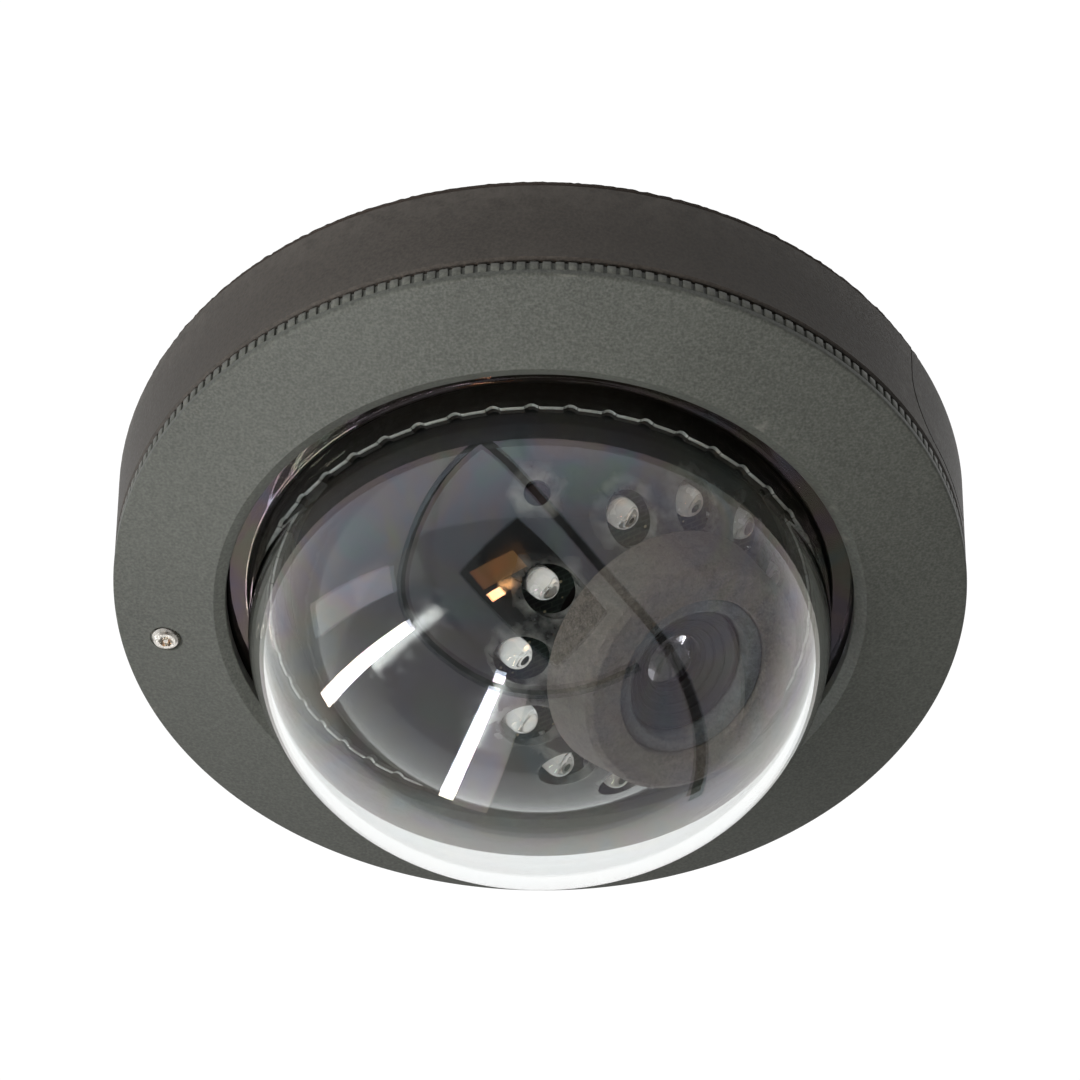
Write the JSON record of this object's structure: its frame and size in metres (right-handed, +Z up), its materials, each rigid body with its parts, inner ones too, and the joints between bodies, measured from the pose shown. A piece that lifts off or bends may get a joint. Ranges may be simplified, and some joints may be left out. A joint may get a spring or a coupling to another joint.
{
  "type": "dome security camera",
  "caption": "Ceiling dome camera: knurled metal cover with clear bubble over a pan-tilt ball with infrared lamps and a hooded varifocal lens.",
  "frame": {"origin": "centre of the ceiling face of the mounting gasket", "axes": "+Z points up into the ceiling; the dome hangs towards -Z; -Y is the side nearest the usual viewer, +X to that viewer's right"},
  "size_m": [0.1464, 0.1464, 0.0679],
  "materials": {
    "coated_metal": "die-cast, fine powder coat, dark grey-green",
    "drum_metal": "die-cast, fine powder coat, dark warm grey",
    "rubber": "matt",
    "clear_plastic": "clear polycarbonate",
    "ring_plastic": "satin moulded",
    "screw_steel": "plain",
    "zinc_steel": "zinc plated",
    "gimbal_plastic": "glass-filled nylon",
    "white_nylon": "natural nylon",
    "gloss_black": "high gloss",
    "lamp_clear": "clear epoxy",
    "sensor_amber": "photocell face",
    "board_green": "solder mask",
    "board_white": "dark solder mask",
    "felt": "dense felt",
    "felt_inner": "dense felt",
    "chip_black": "moulded epoxy",
    "lens_black": "black anodised",
    "lens_glass": "coated optical glass"
  },
  "bodies": {
    "drum": {"base_housing": "drum_metal", "side_entry_cap": "drum_metal", "mounting_gasket": "rubber", "cable_grommet": "rubber", "cover_seal": "rubber", "gimbal_retainer": "gimbal_plastic", "retainer_screws": "zinc_steel"},
    "cover": {"cover_bezel": "coated_metal", "clear_dome": "clear_plastic", "dome_seal": "rubber", "dome_retaining_ring": "ring_plastic", "ring_screws": "zinc_steel", "screw_retaining_washer": "rubber"},
    "lock_screw": {"security_screw": "screw_steel"},
    "pan_ring": {"pan_yoke": "gimbal_plastic", "friction_washers": "white_nylon"},
    "ball": {"ball_shell": "gloss_black", "tilt_pivot_screws": "zinc_steel", "pivot_nuts": "zinc_steel", "light_sensor": "sensor_amber", "infrared_lamps": "lamp_clear", "lamp_board": "board_white", "felt_hood": "felt", "felt_inner_ring": "felt_inner"},
    "camera_module": {"sensor_board": "board_green", "power_board": "board_green", "board_standoffs": "zinc_steel", "board_screws": "zinc_steel", "image_sensor": "chip_black", "processor_chip": "chip_black", "lead_socket": "white_nylon", "lens_holder": "lens_black", "lens_barrel": "lens_black", "front_lens": "lens_glass", "rear_lens": "lens_glass"},
    "zoom": {"zoom_ring": "lens_black", "zoom_lock_screw": "zinc_steel"},
    "focus": {"focus_ring": "lens_black", "focus_lock_screw": "zinc_steel"}
  },
  "joints": [
    {"name": "cover_pull", "type": "slide", "parent": "drum", "child": "cover", "axis": [0, 0, -1], "range_m": [0, 0.075]},
    {"name": "lock_screw_turn", "type": "hinge", "parent": "cover", "child": "lock_screw", "pos_m": [-0.06397, 0.0074, -0.022], "axis": [0, 0, -1], "continuous": true},
    {"name": "pan", "type": "hinge", "parent": "drum", "child": "pan_ring", "pos_m": [0, 0, -0.0112], "axis": [0, 0, 1], "range_deg": [-175, 175]},
    {"name": "tilt", "type": "hinge", "parent": "pan_ring", "child": "ball", "pos_m": [0, 0, -0.0112], "axis": [0.4147, 0.91, 0], "range_deg": [0, 20]},
    {"name": "module_turn", "type": "hinge", "parent": "ball", "child": "camera_module", "pos_m": [0, 0, -0.0112], "axis": [0.5088, -0.2319, -0.829], "range_deg": [-170, 170]},
    {"name": "zoom_turn", "type": "hinge", "parent": "camera_module", "child": "zoom", "pos_m": [0, 0, -0.0112], "axis": [0.5088, -0.2319, -0.829], "range_deg": [-40, 40]},
    {"name": "focus_turn", "type": "hinge", "parent": "camera_module", "child": "focus", "pos_m": [0, 0, -0.0112], "axis": [0.5088, -0.2319, -0.829], "range_deg": [-60, 60]}
  ]
}
